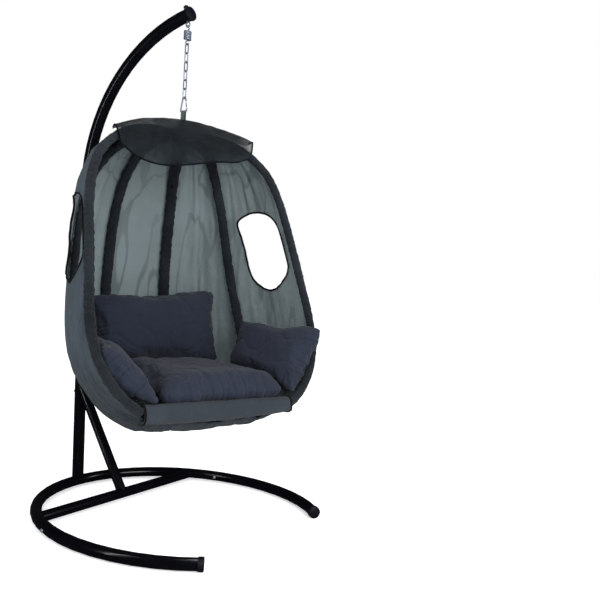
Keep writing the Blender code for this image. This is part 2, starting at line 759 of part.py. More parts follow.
def build_sleeves():
    rim = rim_path()
    rim[0] = rim[0] * 0.25 + Vector((0.075, -0.0015, 1.460)) * 0.75
    rim.insert(1, rim_path()[0])
    for side, path in (("right", rim), ("left", mirrored(rim))):
        tube("rim_sleeve_" + side, to_pivot(path), RIM_SLEEVE, "sleeve_fabric", CLOTH, TURNED, 10)
    for name in ("inner", "outer"):
        path = rib_path(name, RIB_INSET)[:-1]
        for side, points in (("right", path), ("left", mirrored(path))):
            tube(
                "rib_sleeve_%s_%s" % (name, side),
                to_pivot(points),
                RIB_SLEEVE,
                "sleeve_fabric",
                CLOTH,
                TURNED,
                8,
            )
    profile = [
        (0.0165, 0.0200),
        (0.0060, 0.0265),
        (-0.0080, 0.0245),
        (-0.0190, 0.0130),
        (-0.0220, -0.0070),
        (-0.0170, -0.0260),
        (-0.0020, -0.0380),
        (0.0180, -0.0420),
    ]
    half = BAR_U - 0.004
    vertices = []
    stations = np.linspace(-half, half, 7)
    for u in stations:
        vertices += [(u, BAR_V + dv, BAR_Z + dz) for dv, dz in profile]
    faces = []
    width = len(profile)
    for i in range(len(stations) - 1):
        for j in range(width - 1):
            k = i * width + j
            faces.append((k, k + 1, k + width + 1, k + width))
    sleeve = mesh_object("front_bar_sleeve", to_pivot(vertices), faces)
    thicken(sleeve, CLOTH, 0.0)
    place(sleeve, "mesh_fabric", TURNED)


HOOD_HALF, HOOD_DROP = 0.285, 0.150


def hood_point(across, along):
    """The hood's surface: across from tip to tip, along from its back edge to its front edge."""
    lens = 1.0 - across**2
    width = HOOD_HALF * (1.0 - 0.16 * max(along - 0.35, 0.0))
    u = width * across
    crown = 1.506 - 0.058 * across**2
    if along < 0.35:
        share = along / 0.35
        v = 0.075 * (1.0 - share) * lens - 0.035 * share - 0.012 * across**2
        z = crown - 0.020 * (1.0 - share) ** 2 * (0.3 + 0.7 * lens) + 0.004 * share
    else:
        share = (along - 0.35) / 0.65
        v = -0.035 - 0.012 * across**2 - 0.052 * math.sin(share * 1.45) * (0.45 + 0.55 * lens)
        z = crown + 0.004 - HOOD_DROP * (0.38 + 0.62 * lens**0.45) * share**1.35
    return Vector((u, v, z))


def build_hood():
    across = np.linspace(-1.0, 1.0, 15)
    along = (0.0, 0.18, 0.35, 0.48, 0.66, 0.83, 1.0)
    grid = [hood_point(a, b) for b in along for a in across]
    faces = []
    width = len(across)
    for i in range(len(along) - 1):
        for j in range(width - 1):
            k = i * width + j
            faces.append((k, k + 1, k + width + 1, k + width))
    hood = mesh_object("hood", to_pivot(grid), faces)
    thicken(hood, CLOTH, 0.0)
    place(hood, "hood_fabric", TURNED)
    base = TURNED["stand_point"][2]
    hole_path = [Vector((0, 0, 1.485 - base)), Vector((0, 0, 1.53 - base))]
    hole = rod_cutter("hood_hole", hole_path, 0.016, 16, TURNED)
    cut(hood, hole)
    edge = []
    for a in np.linspace(-0.94, 0.94, 15):
        point = hood_point(a, 1.0)
        below = point - hood_point(a, 0.92)
        edge.append(point + below.normalized() * (PIPE_R * 0.75 + 0.0024))
    bar("hood_piping", to_pivot(edge), PIPE_R * 0.75, "piping", TURNED, 6)


# ---------------------------------------------------------------- cushions


def cushion(name, surface, half_thickness, power=2.6):
    """A closed pad, thickest in the middle, whose faces meet at a seam all round."""
    size = 7
    steps = np.linspace(-1.0, 1.0, size)
    vertices, faces, index = [], [], {}
    for side in (1, -1):
        for i, a in enumerate(steps):
            for j, b in enumerate(steps):
                rim = i in (0, size - 1) or j in (0, size - 1)
                key = (0 if rim else side, i, j)
                if key in index:
                    continue
                centre, normal = surface(a, b)
                fill = ((1 - abs(a) ** power) * (1 - abs(b) ** power)) ** 0.5
                index[key] = len(vertices)
                vertices.append(centre + normal * half_thickness * fill * side)
    for side in (1, -1):
        for i in range(size - 1):
            for j in range(size - 1):
                corners = []
                for di, dj in ((0, 0), (1, 0), (1, 1), (0, 1)):
                    m, n = i + di, j + dj
                    rim = m in (0, size - 1) or n in (0, size - 1)
                    corners.append(index[(0 if rim else side, m, n)])
                faces.append(tuple(corners if side > 0 else corners[::-1]))
    pad = mesh_object(name, to_pivot(vertices), faces)
    smooth = pad.modifiers.new("Round", "SUBSURF")
    smooth.levels = 1
    smooth.render_levels = 1
    return place(pad, "cushion_fabric", TURNED)


def patch(corners, bulge):
    """A bilinear patch through four corners, bent by bulge along its normal."""
    p00, p10, p11, p01 = (Vector(c) for c in corners)
    normal = (p11 - p00).cross(p01 - p10).normalized()

    def surface(a, b):
        x, y = (a + 1) / 2, (b + 1) / 2
        point = p00 * (1 - x) * (1 - y) + p10 * x * (1 - y) + p11 * x * y + p01 * (1 - x) * y
        return point - normal * bulge * (1 - a * a) * (1 - b * b), normal

    return surface


def build_cushions():
    seat = [(-0.262, -0.425, 0.560), (0.262, -0.425, 0.560), (0.215, 0.125, 0.530), (-0.215, 0.125, 0.530)]
    cushion("seat_cushion", patch(seat, 0.022), 0.085)
    back = [(-0.250, 0.135, 0.620), (0.250, 0.135, 0.620), (0.245, 0.225, 0.862), (-0.245, 0.225, 0.862)]
    cushion("back_pillow", patch(back, 0.0), 0.075)
    right = [
        (0.294, -0.393, 0.564),
        (0.390, -0.358, 0.742),
        (0.337, 0.040, 0.740),
        (0.256, 0.012, 0.572),
    ]
    left = [(-u, v, z) for u, v, z in (right[0], right[3], right[2], right[1])]
    cushion("arm_cushion_right", patch(right, 0.0), 0.052)
    cushion("arm_cushion_left", patch(left, 0.0), 0.052)


build_post()
EYE = build_pole()
SPRING, HOOK_BOTTOM = build_spring(EYE)
LAST_LINK, SNAP_TOP = build_chain(SPRING, HOOK_BOTTOM)
SNAP, GATE, GATE_PIVOT = build_snap(LAST_LINK, SNAP_TOP)
SNAP_WIRE_Z = SNAP_TOP - SNAP_LENGTH
BASKET = build_strap(SNAP, SNAP_WIRE_Z)
TURNED = pivot("basket_turned", BASKET["stand_point"], BASKET, YAW)
build_frame(BASKET)
build_shell()
build_sleeves()
build_hood()
build_cushions()
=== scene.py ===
"""Looks for the hanging egg chair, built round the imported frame. Metres, +Z up."""

import json
import math

import bmesh
import bpy
import numpy as np
from mathutils import Matrix, Vector, noise

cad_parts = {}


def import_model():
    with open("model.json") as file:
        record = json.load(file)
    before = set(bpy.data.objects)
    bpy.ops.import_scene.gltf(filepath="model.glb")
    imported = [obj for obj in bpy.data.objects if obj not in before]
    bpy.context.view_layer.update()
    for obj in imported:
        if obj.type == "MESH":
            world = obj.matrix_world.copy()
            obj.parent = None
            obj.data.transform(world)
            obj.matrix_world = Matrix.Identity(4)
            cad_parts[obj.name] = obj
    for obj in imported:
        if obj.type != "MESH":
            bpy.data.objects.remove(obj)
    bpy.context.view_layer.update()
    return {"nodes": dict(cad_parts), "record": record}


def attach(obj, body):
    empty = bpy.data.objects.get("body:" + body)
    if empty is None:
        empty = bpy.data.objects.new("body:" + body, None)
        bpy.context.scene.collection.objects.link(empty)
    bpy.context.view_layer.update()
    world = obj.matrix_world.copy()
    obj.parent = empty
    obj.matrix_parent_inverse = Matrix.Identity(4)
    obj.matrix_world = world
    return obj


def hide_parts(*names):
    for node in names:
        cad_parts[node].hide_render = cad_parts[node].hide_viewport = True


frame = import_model()
NODES = frame["nodes"]

# The CAD's own origin and the basket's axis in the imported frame, and the basket's turn about it
SHIFT = Vector((0.0184, -0.0929, 0.0))
HANG = Vector((0.0184, -0.0154, 0.0))
YAW = math.radians(-22.5)

# The basket in its own frame: u to the right, v to the back, z up
BAR_U, BAR_V, BAR_Z = 0.272, -0.415, 0.478  # the front bar's right end
INNER_DEG, OUTER_DEG, OUTER_LOW_DEG = 13.5, 49.0, 63.0  # the ribs, round from the back
SPREAD_FROM_S, SPREAD_RUN_S = 4.0, 8.0  # where the outer ribs spread apart
RIB_INSET = 0.0205  # from the skin in to a rib's centre line
ROUND = 0.8  # 1 would make each level section an ellipse, and less makes it squarer
MIDDLE_Z = 0.92  # half-way up the basket
SKIN = 0.0014  # the mesh cloth's thickness
SKIN_CLEARANCE = 0.0150  # between the skin's edge and the rim's centre line

# The right rim (u, v, z) and the skin's middle line (v, z), both from the hub to the front bar
RIM = [
    (0.030, 0.000, 1.460),
    (0.120, -0.006, 1.461),
    (0.215, -0.020, 1.441),
    (0.285, -0.044, 1.400),
    (0.338, -0.070, 1.345),
    (0.374, -0.103, 1.265),
    (0.394, -0.143, 1.165),
    (0.405, -0.190, 1.055),
    (0.415, -0.238, 0.945),
    (0.424, -0.280, 0.840),
    (0.428, -0.316, 0.755),
    (0.420, -0.346, 0.678),
    (0.400, -0.371, 0.615),
    (0.370, -0.391, 0.563),
    (0.336, -0.405, 0.523),
    (0.304, -0.413, 0.495),
    (0.284, -0.4148, 0.4825),
    (0.275, -0.415, 0.4785),
    (0.2725, -0.415, 0.478),
]
BACK = [
    (0.030, 1.480),
    (0.105, 1.473),
    (0.185, 1.443),
    (0.262, 1.390),
    (0.322, 1.315),
    (0.364, 1.225),
    (0.393, 1.120),
    (0.413, 1.010),
    (0.424, 0.890),
    (0.424, 0.770),
    (0.408, 0.660),
    (0.370, 0.560),
    (0.305, 0.480),
    (0.215, 0.418),
    (0.105, 0.373),
    (-0.025, 0.352),
    (-0.160, 0.357),
    (-0.290, 0.388),
    (-0.372, 0.435),
]
# A side window's edge (v, z), once round
WINDOW = [
    (0.160, 1.152),
    (0.112, 1.187),
    (0.045, 1.196),
    (-0.034, 1.182),
    (-0.090, 1.138),
    (-0.120, 1.083),
    (-0.156, 1.003),
    (-0.164, 0.970),
    (-0.140, 0.932),
    (-0.093, 0.892),
    (-0.030, 0.876),
    (0.043, 0.897),
    (0.084, 0.934),
    (0.113, 1.018),
    (0.138, 1.081),
]


# ---------------------------------------------------------------- curves and meshes


def clamped(value):
    return min(max(value, 0.0), 1.0)


def padded_knots(points):
    """The points with one more at each end, straight on, for spline_at."""
    knots = np.asarray(points, float)
    return np.vstack([2 * knots[0] - knots[1], knots, 2 * knots[-1] - knots[-2]])


def spline_at(knots, t):
    """A Catmull-Rom curve through knots[1:-1], at t from 0 to their number less one."""
    last = len(knots) - 4
    i = int(min(max(math.floor(t), 0), last))
    x = t - i
    a, b, c, d = knots[i : i + 4]
    return 0.5 * (2 * b + (c - a) * x + (2 * a - 5 * b + 4 * c - d) * x**2 + (3 * b - a - 3 * c + d) * x**3)


RIM_KNOTS, BACK_KNOTS = padded_knots(RIM), padded_knots(BACK)
LAST_S = len(RIM) - 1.0


def shell_point(s, degrees):
    """A point on the basket's skin: s runs from the hub to the front bar, degrees round from the back."""
    u, v_rim, z_rim = spline_at(RIM_KNOTS, s)
    v_back, z_back = spline_at(BACK_KNOTS, s)
    angle = math.radians(degrees)
    out = math.copysign(abs(math.sin(angle)) ** ROUND, angle)
    rear = max(math.cos(angle), 0.0) ** ROUND
    return Vector((u * out, v_rim + (v_back - v_rim) * rear, z_rim + (z_back - z_rim) * rear))


def shell_normal(s, degrees):
    """The skin's outward direction."""
    ahead = shell_point(min(s + 0.05, LAST_S), degrees) - shell_point(max(s - 0.05, 0.0), degrees)
    around = shell_point(s, degrees + 1.0) - shell_point(s, degrees - 1.0)
    return ahead.cross(around).normalized() * -1.0


def edge_degrees(s):
    """How far round the skin reaches before it meets the rim's sleeve."""
    _, v_rim, z_rim = spline_at(RIM_KNOTS, s)
    v_back, z_back = spline_at(BACK_KNOTS, s)
    depth = math.hypot(v_back - v_rim, z_back - z_rim)
    return math.degrees(math.acos(min(SKIN_CLEARANCE / depth, 0.95) ** (1.0 / ROUND)))


def rib_degrees(name, s):
    """How far round from the back a rib runs at s."""
    if name == "inner":
        return INNER_DEG
    spread = clamped((s - SPREAD_FROM_S) / SPREAD_RUN_S)
    return OUTER_DEG + (OUTER_LOW_DEG - OUTER_DEG) * spread


TURN = Matrix.Rotation(YAW, 4, "Z")


def world(point):
    """A point of the basket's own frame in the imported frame."""
    return TURN @ Vector(point) + HANG


def mirrored(points):
    """The same line on the basket's left."""
    return [Vector((-p[0], p[1], p[2])) for p in points]


PER_SPAN = 12  # fine points between two given ones


def resampled(points, step):
    """Points evenly spaced along a smooth curve through the given ones."""
    knots = padded_knots(points)
    spans = len(points) - 1
    fine = np.array([spline_at(knots, t) for t in np.linspace(0, spans, spans * PER_SPAN + 1)])
    length = np.concatenate([[0], np.cumsum(np.linalg.norm(np.diff(fine, axis=0), axis=1))])
    count = max(int(round(length[-1] / step)), 2)
    at = np.linspace(0, length[-1], count + 1)
    return [Vector([np.interp(d, length, fine[:, k]) for k in range(3)]) for d in at]


def ridge(x, y, z, narrow):
    """1 along the lines where the noise is zero, and 0 beside them; narrow sets how thin they are."""
    return max(1.0 - abs(noise.noise(Vector((x, y, z)))) * narrow, 0.0)


def new_object(name, vertices, faces, material=None, smooth=True):
    """A mesh object with its faces turned outwards."""
    mesh = bpy.data.meshes.new(name)
    mesh.from_pydata([tuple(v) for v in vertices], [], faces)
    mesh.validate()
    made = bmesh.new()
    made.from_mesh(mesh)
    bmesh.ops.recalc_face_normals(made, faces=made.faces)
    if all(len(e.link_faces) == 2 for e in made.edges) and made.calc_volume(signed=True) < 0:
        bmesh.ops.reverse_faces(made, faces=made.faces)
    made.to_mesh(mesh)
    made.free()
    if smooth:
        mesh.shade_smooth()
    obj = bpy.data.objects.new(name, mesh)
    bpy.context.scene.collection.objects.link(obj)
    if material is not None:
        mesh.materials.append(material)
    return obj


def frames_along(points, closed=False):
    """A tangent, side and up vector at each point, with no needless twist."""
    count = len(points)
    result = []
    side = None
    for i in range(count):
        if closed:
            tangent = (points[(i + 1) % count] - points[i - 1]).normalized()
        else:
            tangent = (points[min(i + 1, count - 1)] - points[max(i - 1, 0)]).normalized()
        if side is None:
            guess = Vector((0, 0, 1)) if abs(tangent.z) < 0.9 else Vector((0, 1, 0))
            side = tangent.cross(guess).normalized()
        side = (side - tangent * side.dot(tangent)).normalized()
        result.append((tangent, side, tangent.cross(side)))
    return result


def sweep(name, points, radius, sides, material, closed=False, frames=None):
    """A tube along points; radius is a number or a function of (index, angle, point)."""
    frames = frames or frames_along(points, closed)
    vertices, faces = [], []
    for i, p in enumerate(points):
        _, side, up = frames[i]
        for k in range(sides):
            angle = 2 * math.pi * k / sides
            r = radius(i, angle, p) if callable(radius) else radius
            vertices.append(p + (side * math.cos(angle) + up * math.sin(angle)) * r)
    rings = len(points)
    for i in range(rings if closed else rings - 1):
        for k in range(sides):
            a, b = i * sides + k, i * sides + (k + 1) % sides
            c, d = ((i + 1) % rings) * sides + k, ((i + 1) % rings) * sides + (k + 1) % sides
            faces.append((a, b, d, c))
    if not closed:
        faces.append(tuple(range(sides))[::-1])
        faces.append(tuple((rings - 1) * sides + k for k in range(sides)))
    return new_object(name, vertices, faces, material)


def grid_object(name, rows, material):
    """An open sheet through rows of points."""
    width = len(rows[0])
    vertices = [p for row in rows for p in row]
    faces = []
    for i in range(len(rows) - 1):
        for j in range(width - 1):
            k = i * width + j
            faces.append((k, k + 1, k + 1 + width, k + width))
    return new_object(name, vertices, faces, material)


def applied(obj):
    """Bakes the object's modifiers into its mesh."""
    graph = bpy.context.evaluated_depsgraph_get()
    graph.update()
    mesh = bpy.data.meshes.new_from_object(obj.evaluated_get(graph))
    obj.modifiers.clear()
    obj.data = mesh
    mesh.shade_smooth()


def thicken(obj, thickness, lit_side=None):
    """Gives a sheet its thickness, half on each side, and its back another material if one is named."""
    solid = obj.modifiers.new("Thickness", "SOLIDIFY")
    solid.thickness = thickness
    solid.offset = 0.0
    if lit_side is not None:
        obj.data.materials.append(lit_side)
        solid.material_offset = 1
    return obj


# ---------------------------------------------------------------- materials

# Painted shade: folded() draws thin dark lines that stand for the shade in folds.
FOLD_SHARPNESS = 38.0  # how thin the dark lines of folded() are


class Nodes:
    """Short names for building a material's node tree."""

    def __init__(self, name):
        self.material = bpy.data.materials.new(name)
        self.material.use_nodes = True
        self.tree = self.material.node_tree
        self.shader = self.tree.nodes["Principled BSDF"]
        self.output = self.tree.nodes["Material Output"]
        self.position = self.add("ShaderNodeTexCoord").outputs["Object"]

    def add(self, kind, **values):
        node = self.tree.nodes.new(kind)
        for key, value in values.items():
            setattr(node, key, value)
        return node

    def link(self, a, b):
        self.tree.links.new(a, b)

    def noise(self, scale, detail=3.0, stretch=None, roughness=0.55):
        node = self.add("ShaderNodeTexNoise")
        node.inputs["Scale"].default_value = scale
        node.inputs["Detail"].default_value = detail
        node.inputs["Roughness"].default_value = roughness
        source = self.position
        if stretch:
            mapping = self.add("ShaderNodeMapping")
            mapping.inputs["Scale"].default_value = stretch
            self.link(source, mapping.inputs["Vector"])
            source = mapping.outputs["Vector"]
        self.link(source, node.inputs["Vector"])
        return node.outputs["Fac"]

    def wave(self, scale, axis):
        node = self.add("ShaderNodeTexWave", bands_direction=axis, wave_profile="SIN")
        node.inputs["Scale"].default_value = scale
        node.inputs["Distortion"].default_value = 0.0
        node.inputs["Detail"].default_value = 1.0
        self.link(self.position, node.inputs["Vector"])
        return node.outputs["Fac"]

    def maths(self, operation, a, b=None, clamp=False):
        node = self.add("ShaderNodeMath", operation=operation, use_clamp=clamp)
        for socket, value in zip(node.inputs, (a, b)):
            if value is None:
                continue
            if isinstance(value, (int, float)):
                socket.default_value = value
            else:
                self.link(value, socket)
        return node.outputs[0]

    def ramp(self, factor, stops):
        node = self.add("ShaderNodeValToRGB")
        ramp = node.color_ramp
        while len(ramp.elements) < len(stops):
            ramp.elements.new(0.5)
        for element, (at, colour) in zip(ramp.elements, stops):
            element.position = at
            element.color = (*colour, 1.0)
        self.link(factor, node.inputs["Fac"])
        return node.outputs["Color"]

    def mapped(self, value, low, high, start=0.0, end=1.0):
        """low to high, clamped, as the value goes from start to end."""
        node = self.add("ShaderNodeMapRange")
        node.inputs["From Min"].default_value = start
        node.inputs["From Max"].default_value = end
        node.inputs["To Min"].default_value = low
        node.inputs["To Max"].default_value = high
        self.link(value, node.inputs["Value"])
        return node.outputs["Result"]

    def dimmed(self, colour, share):
        node = self.add("ShaderNodeVectorMath", operation="SCALE")
        self.link(colour, node.inputs[0])
        self.link(share, node.inputs["Scale"])
        return node.outputs["Vector"]

    def mixed(self, factor, first, second):
        """The first shader where factor is 0 and the second where it is 1."""
        node = self.add("ShaderNodeMixShader")
        if isinstance(factor, float):
            node.inputs[0].default_value = factor
        else:
            self.link(factor, node.inputs[0])
        self.link(first, node.inputs[1])
        self.link(second, node.inputs[2])
        return node.outputs[0]

    def shaded_by_height(self, colour, full, dark, left):
        """Painted shade: the colour made darker from the height full to the height dark, where left is its
        share.
        """
        split = self.add("ShaderNodeSeparateXYZ")
        self.link(self.position, split.inputs[0])
        return self.dimmed(colour, self.mapped(split.outputs["Z"], 1.0, left, full, dark))

    def fold_shaded(self, colour, stretch, strength):
        """Painted shade in folds: the colour with thin darker lines along a stretched noise's middle value.
        """
        line = self.maths("SUBTRACT", self.noise(1.0, 1.5, stretch, 0.4), 0.5)
        line = self.maths("MULTIPLY", self.maths("ABSOLUTE", line), FOLD_SHARPNESS, clamp=True)
        keep = self.maths("MULTIPLY", self.noise(3.0, 1.0), 1.1, clamp=True)
        return self.dimmed(colour, self.mapped(self.maths("MAXIMUM", line, keep), 1.0 - strength, 1.0))

    def colour(self, output):
        self.link(output, self.shader.inputs["Base Color"])

    def roughness(self, factor, low, high):
        self.link(self.mapped(factor, low, high), self.shader.inputs["Roughness"])

    def bump(self, height, distance, strength=1.0, below=None):
        node = self.add("ShaderNodeBump")
        node.inputs["Strength"].default_value = strength
        node.inputs["Distance"].default_value = distance
        self.link(height, node.inputs["Height"])
        if below is not None:
            self.link(below, node.inputs["Normal"])
        self.link(node.outputs["Normal"], self.shader.inputs["Normal"])
        return node.outputs["Normal"]

    def set(self, **values):
        """Sets the shader's sockets by name, with _ for each space."""
        for key, value in values.items():
            self.shader.inputs[key.replace("_", " ")].default_value = value


def scaled(colour, factor):
    return tuple(min(c * factor, 1.0) for c in colour)


def cloth(
    name,
    colour,
    thread,
    vary=0.18,
    sheen=0.04,
    clear=0.0,
    glow=0.0,
    weave_mix=0.15,
    shade_by_height=None,
    crinkle=(38.0, 0.0016),
    folds=None,
):
    """Woven cloth: crossed threads with slow changes of shade. thread is the weave's scale and
    weave_mix its share of the colour; vary is how far the colour goes from dark to light; clear
    is the share seen through and glow the share let through as light; fade is painted shade by
    height, (z at full colour, z at the darkest, the share left there); crinkle is the creases'
    scale and depth; folds is the stretch and strength of thin dark lines painted as shade in the folds."""
    n = Nodes(name)
    weave = n.maths("MULTIPLY", n.wave(thread, "X"), n.wave(thread, "Z"))
    weave = n.maths("MAXIMUM", weave, n.maths("MULTIPLY", n.wave(thread, "Y"), n.wave(thread * 0.97, "Z")))
    shade = n.noise(7.0, 4.0)
    fleck = n.noise(420.0, 2.0)
    mixed = n.maths("ADD", n.maths("MULTIPLY", shade, 0.65), n.maths("MULTIPLY", fleck, 0.35))
    mixed = n.maths("ADD", n.maths("MULTIPLY", mixed, 1 - weave_mix), n.maths("MULTIPLY", weave, weave_mix))
    base = n.ramp(mixed, [(0.25, scaled(colour, 1 - vary)), (0.75, scaled(colour, 1 + vary))])
    if shade_by_height:
        base = n.shaded_by_height(base, *shade_by_height)
    if folds:
        base = n.fold_shaded(base, *folds)
    n.colour(base)
    n.roughness(fleck, 0.8, 0.95)
    coarse = n.bump(n.noise(crinkle[0], 4.0), crinkle[1], 0.6)
    n.bump(weave, 0.0003, 0.6, coarse)
    n.set(Sheen_Weight=sheen, Sheen_Roughness=0.5, Specular_IOR_Level=0.06)
    surface = n.shader.outputs[0]
    if glow:
        light = n.add("ShaderNodeBsdfTranslucent")
        n.link(base, light.inputs["Color"])
        surface = n.mixed(glow, surface, light.outputs[0])
    if clear:
        see = n.add("ShaderNodeBsdfTransparent")
        patchy = n.mapped(n.noise(9.0, 3.0), clear * 0.5, clear * 1.5, 0.35, 0.65)
        surface = n.mixed(patchy, surface, see.outputs[0])
    n.link(surface, n.output.inputs["Surface"])
    return n.material


def powder_coat():
    n = Nodes("black_powder_coat")
    orange_peel = n.noise(900.0, 2.0)
    patches = n.noise(14.0, 3.0)
    n.colour(n.ramp(patches, [(0.3, (0.0008, 0.0009, 0.0016)), (0.7, (0.0016, 0.0018, 0.0030))]))
    n.roughness(patches, 0.16, 0.22)
    n.bump(orange_peel, 0.00003, 0.12)
    n.set(Coat_Weight=0.10, Coat_Roughness=0.05, Specular_IOR_Level=0.28)
    return n.material


def moulded_plastic():
    n = Nodes("black_moulded_plastic")
    grain = n.noise(700.0, 3.0)
    n.colour(n.ramp(grain, [(0.3, (0.0016, 0.0021, 0.0048)), (0.7, (0.0034, 0.0042, 0.0080))]))
    n.roughness(grain, 0.42, 0.56)
    n.bump(grain, 0.00012, 0.4)
    n.set(Specular_IOR_Level=0.15)
    return n.material


def zinc_plate():
    n = Nodes("zinc_plate")
    spangle = n.noise(260.0, 4.0)
    n.colour(n.ramp(spangle, [(0.25, (0.16, 0.18, 0.23)), (0.75, (0.30, 0.34, 0.42))]))
    n.roughness(spangle, 0.34, 0.50)
    n.bump(n.noise(900.0, 2.0), 0.00005, 0.3)
    n.set(Metallic=0.7)
    return n.material


MATERIALS = {
    "steel_black": powder_coat(),
    "plastic_black": moulded_plastic(),
    "zinc": zinc_plate(),
    # The skin's outside: the mesh cloth painted darker as its shaded side, with painted shade towards the
    # bottom and thin lines of painted shade in the folds.
    "mesh_fabric": cloth(
        "outer_mesh_cloth_shaded",
        (0.034, 0.048, 0.061),
        thread=150.0,
        vary=0.30,
        shade_by_height=(0.70, 0.42, 0.42),
        crinkle=(13.0, 0.022),
        folds=((13.0, 13.0, 1.1), 0.26),
    ),
    # The skin's inside: the same mesh cloth painted lighter as its lit side, with painted shade towards the
    # top under the hood and thin lines of painted shade in the folds.
    "mesh_inside": cloth(
        "inner_mesh_cloth_lit",
        (0.205, 0.252, 0.262),
        thread=150.0,
        vary=0.14,
        glow=0.25,
        weave_mix=0.3,
        shade_by_height=(1.38, 1.47, 0.22),
        crinkle=(11.0, 0.018),
        folds=((9.0, 9.0, 1.5), 0.55),
    ),
    "band_fabric": cloth(
        "front_band_cloth",
        (0.022, 0.027, 0.033),
        thread=260.0,
        vary=0.36,
        crinkle=(17.0, 0.016),
    ),
    "sleeve_fabric": cloth(
        "gathered_sleeve_cloth",
        (0.0105, 0.0135, 0.0170),
        thread=300.0,
        vary=0.8,
        crinkle=(80.0, 0.030),
    ),
    # The hood's thin dark fold lines are painted shade.
    "hood_fabric": cloth(
        "sheer_hood_cloth",
        (0.0092, 0.0122, 0.0145),
        thread=260.0,
        vary=0.75,
        sheen=0.02,
        clear=0.38,
        crinkle=(11.0, 0.030),
        folds=((6.0, 6.0, 6.0), 0.7),
    ),
    "piping": cloth("black_binding", (0.0022, 0.0027, 0.0035), thread=700.0, vary=0.3, sheen=0.02),
    "cushion_fabric": cloth(
        "cushion_cloth",
        (0.0155, 0.0190, 0.0305),
        thread=320.0,
        vary=0.20,
        sheen=0.06,
        crinkle=(17.0, 0.014),
    ),
    "webbing": cloth("strap_webbing", (0.055, 0.070, 0.070), thread=400.0, vary=0.25),
}
MERGE = 0.00005
SHARP = math.radians(38)


def dress_nodes():
    """Gives every CAD node its slot's material, and smooth faces between its sharp edges."""
    slots = {row["node"]: row["material_slot"] for row in frame["record"]["subparts"]}
    for name, node in NODES.items():
        node.data.materials.clear()
        node.data.materials.append(MATERIALS[slots[name]])
        weld = node.modifiers.new("Weld", "WELD")
        weld.merge_threshold = MERGE
        node.data.shade_smooth()
        split = node.modifiers.new("Sharp", "EDGE_SPLIT")
        split.split_angle = SHARP


def piece(obj, slot, *replaced, body="basket"):
    """Hides the CAD nodes the piece stands for and puts it on the empty named for the body it rides on;
    slot is not used.
    """
    if replaced:
        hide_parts(*replaced)
    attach(obj, body)


# ---------------------------------------------------------------- basket skin

RIB_S = np.linspace(1.0, 15.6, 13)


def rib_line(name):
    """The right inner or outer rib's centre line."""
    points = []
    for s in RIB_S:
        degrees = rib_degrees(name, s)
        points.append(shell_point(s, degrees) - shell_normal(s, degrees) * RIB_INSET)
    return points


def rim_line():
    """The right rim's centre line, with its first point drawn in towards the hub."""
    path = [Vector(spline_at(RIM_KNOTS, s)) for s in np.linspace(1.0, 15.0, 14)]
    start = path[0] * 0.25 + Vector((0.075, -0.0015, 1.460)) * 0.75
    return [start] + path + [Vector(spline_at(RIM_KNOTS, 16.2))]


DEEPEST_PLEAT, HIGHEST_PLEAT = 0.009, 0.012


def pleats(s, degrees):
    """How far the cloth stands out between the ribs and rims, with folds that run down from the hub."""
    a = abs(degrees)
    outer = rib_degrees("outer", s)
    if a < INNER_DEG:
        share, wide = (a + INNER_DEG) / (2 * INNER_DEG), 0.5
    elif a < outer:
        share, wide = (a - INNER_DEG) / (outer - INNER_DEG), 1.0
    else:
        share, wide = (a - outer) / (90.0 - outer), 0.7
    belly = math.sin(math.pi * clamped(share))
    high = math.exp(-(((s - 2.0) / 2.6) ** 2))
    low = math.exp(-(((s - 13.0) / 3.0) ** 2))
    folds = noise.fractal(Vector((degrees * 0.16, s * 0.22, 3.7)), 0.9, 2.1, 3)
    sharp = ridge(degrees * 0.21 + s * 0.25, s * 0.30, 9.1, 2.2)
    soft = noise.noise(Vector((degrees * 0.055, s * 0.32, 0.0)) * 1.3)
    pleat = ridge(degrees * 0.33 + s * 0.06, s * 0.09, 5.3, 3.0)
    lift = belly * wide * (0.0040 + 0.0035 * soft)
    lift += belly * folds * (0.0050 + 0.0060 * high + 0.0040 * low)
    lift += belly * sharp**3 * (0.0030 + 0.0060 * high + 0.0030 * low)
    lift -= belly**0.5 * pleat**2 * 0.0042
    return min(max(lift, -DEEPEST_PLEAT), HIGHEST_PLEAT)


def skin_point(s, degrees):
    """A point on the skin with its pleats."""
    return shell_point(s, degrees) + shell_normal(s, degrees) * pleats(s, degrees)


def window_outline(grow, count):
    """The window's edge in depth and height, pushed outwards by grow."""
    knots = np.array(WINDOW[-1:] + WINDOW + WINDOW[:2])
    smooth = [spline_at(knots, t) for t in np.linspace(0, len(WINDOW), count, endpoint=False)]
    result = []
    for i, point in enumerate(smooth):
        tangent = smooth[(i + 1) % count] - smooth[i - 1]
        outward = np.array((tangent[1], -tangent[0])) / np.hypot(*tangent)
        result.append(point + outward * grow)
    return result


SEARCH_ROUNDS, SEARCH_SHRINK = 18, 0.64


def side_place(v, z):
    """The s and degrees at which the right side of the skin has this depth and height."""
    best, s, degrees = None, 7.0, 75.0
    step_s, step_d = 4.0, 20.0
    for _ in range(SEARCH_ROUNDS):
        for ds in (-1, 0, 1):
            for dd in (-1, 0, 1):
                trial_s = min(max(s + ds * step_s, 1.0), 14.0)
                trial_d = min(max(degrees + dd * step_d, 20.0), 89.0)
                point = shell_point(trial_s, trial_d)
                error = math.hypot(point.y - v, point.z - z)
                if best is None or error < best[0]:
                    best = (error, trial_s, trial_d)
        s, degrees = best[1], best[2]
        step_s, step_d = step_s * SEARCH_SHRINK, step_d * SEARCH_SHRINK
    return s, degrees


WINDOW_GAP = 0.0030  # from the binding's centre line out to the skin's cut edge
CUT_FROM_U, CUT_TO_U = 0.20, 0.60


